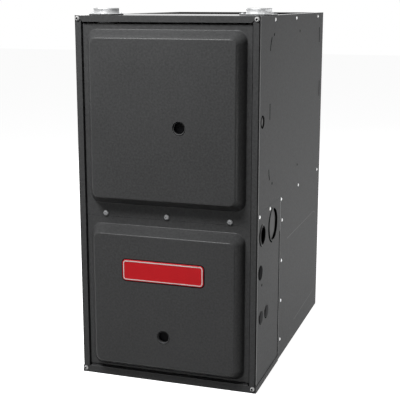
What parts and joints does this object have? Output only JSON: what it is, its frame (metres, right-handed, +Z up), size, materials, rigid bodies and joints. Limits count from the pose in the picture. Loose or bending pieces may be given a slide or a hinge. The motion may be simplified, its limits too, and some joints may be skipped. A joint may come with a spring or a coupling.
{
  "type": "forced air gas furnace",
  "caption": "Tall dark grey furnace cabinet with raised-panel lift-off doors, pipe collars on top, open supply and return ends, burners, heat exchangers, flue fan and air blower inside.",
  "frame": {"origin": "middle of the base, on the floor, halfway between the front of the name plate and the back of the cabinet", "axes": "+Z up, +Y towards the back, +X to the right as seen from the front; the doors face -Y"},
  "size_m": [0.4474, 0.7382, 0.8923],
  "materials": {
    "cabinet_paint": "fine-textured dark grey baked enamel",
    "galvanised_steel": "spangled zinc",
    "aluminised_steel": "dull aluminised",
    "coil_aluminium": "thin bright fins",
    "cast_metal": "die-cast",
    "zinc_screw": "bright zinc plate",
    "black_pipe": "mill-black pipe",
    "black_plastic": "moulded",
    "white_plastic": "extruded pipe",
    "black_rubber": "closed-cell foam and hose",
    "name_plate": "glossy red with a silver edge, bare",
    "sight_glass": "dark",
    "ceramic": "unglazed",
    "motor_paint": "satin dark grey",
    "circuit_board": "green laminate"
  },
  "bodies": {
    "cabinet": {"cabinet_wrapper": "cabinet_paint", "corner_panel_left": "cabinet_paint", "corner_panel_right": "cabinet_paint", "top_panel": "cabinet_paint", "base_rail": "cabinet_paint", "bottom_pan": "galvanised_steel", "corner_screw_top_left": "zinc_screw", "corner_screw_top_right": "zinc_screw", "corner_screw_base_left": "zinc_screw", "corner_screw_base_right": "zinc_screw", "vent_collar": "galvanised_steel", "vent_gasket": "black_rubber", "intake_collar": "galvanised_steel", "intake_gasket": "black_rubber", "blower_deck": "galvanised_steel", "vestibule_panel": "aluminised_steel", "burner_1": "aluminised_steel", "burner_2": "aluminised_steel", "burner_3": "aluminised_steel", "primary_tube_1": "aluminised_steel", "primary_tube_2": "aluminised_steel", "primary_tube_3": "aluminised_steel", "burner_bracket": "galvanised_steel", "gas_manifold": "black_pipe", "gas_valve": "cast_metal", "igniter": "ceramic", "flame_sensor": "ceramic", "rollout_switch": "black_plastic", "rear_header": "aluminised_steel", "secondary_coil": "coil_aluminium", "collector_box": "black_plastic", "inducer_housing": "black_plastic", "inducer_motor": "motor_paint", "vent_pipe": "white_plastic", "condensate_trap": "black_plastic", "pressure_switch": "black_plastic", "pressure_hose": "black_rubber", "blower_housing": "galvanised_steel", "blower_motor": "motor_paint", "motor_mount": "galvanised_steel", "control_panel": "galvanised_steel", "control_board": "circuit_board", "transformer": "cast_metal", "junction_box": "galvanised_steel", "door_switch": "black_plastic"},
    "upper_door": {"door_upper": "cabinet_paint", "sight_glass_upper": "sight_glass"},
    "lower_door": {"door_lower": "cabinet_paint", "sight_glass_lower": "sight_glass", "name_plate": "name_plate"},
    "left_fastener": {"door_fastener_left": "zinc_screw"},
    "centre_fastener": {"door_fastener_centre": "zinc_screw"},
    "right_fastener": {"door_fastener_right": "zinc_screw"},
    "blower_rotor": {"blower_wheel": "galvanised_steel"},
    "flue_fan_rotor": {"inducer_wheel": "coil_aluminium"},
    "gas_switch": {"gas_valve_switch": "black_plastic"},
    "reset_button": {"rollout_reset_button": "name_plate"},
    "switch_plunger": {"door_switch_plunger": "white_plastic"}
  },
  "joints": [
    {"name": "upper_door_removal", "type": "slide", "parent": "cabinet", "child": "upper_door", "axis": [0, -1, 0], "range_m": [0, 0.25]},
    {"name": "lower_door_removal", "type": "slide", "parent": "cabinet", "child": "lower_door", "axis": [0, -1, 0], "range_m": [0, 0.25]},
    {"name": "left_fastener_turn", "type": "hinge", "parent": "upper_door", "child": "left_fastener", "pos_m": [-0.1552, -0.339, 0.4105], "axis": [0, -1, 0], "range_deg": [0, 90]},
    {"name": "centre_fastener_turn", "type": "hinge", "parent": "upper_door", "child": "centre_fastener", "pos_m": [0, -0.339, 0.4105], "axis": [0, -1, 0], "range_deg": [0, 90]},
    {"name": "right_fastener_turn", "type": "hinge", "parent": "upper_door", "child": "right_fastener", "pos_m": [0.1552, -0.339, 0.4105], "axis": [0, -1, 0], "range_deg": [0, 90]},
    {"name": "blower_spin", "type": "hinge", "parent": "cabinet", "child": "blower_rotor", "pos_m": [0, 0.0779, 0.205], "axis": [1, 0, 0], "continuous": true},
    {"name": "flue_fan_spin", "type": "hinge", "parent": "cabinet", "child": "flue_fan_rotor", "pos_m": [0.085, -0.2, 0.52], "axis": [0, -1, 0], "continuous": true},
    {"name": "gas_switch_turn", "type": "hinge", "parent": "cabinet", "child": "gas_switch", "pos_m": [0.144, -0.33, 0.64], "axis": [0, -1, 0], "range_deg": [0, 90]},
    {"name": "reset_button_press", "type": "slide", "parent": "cabinet", "child": "reset_button", "axis": [0, 1, 0], "range_m": [0, 0.0015], "stiffness_N_per_m": 800, "springref_m": -0.001},
    {"name": "door_switch_press", "type": "slide", "parent": "cabinet", "child": "switch_plunger", "axis": [0, 1, 0], "range_m": [0, 0.004], "stiffness_N_per_m": 300, "springref_m": -0.003}
  ]
}
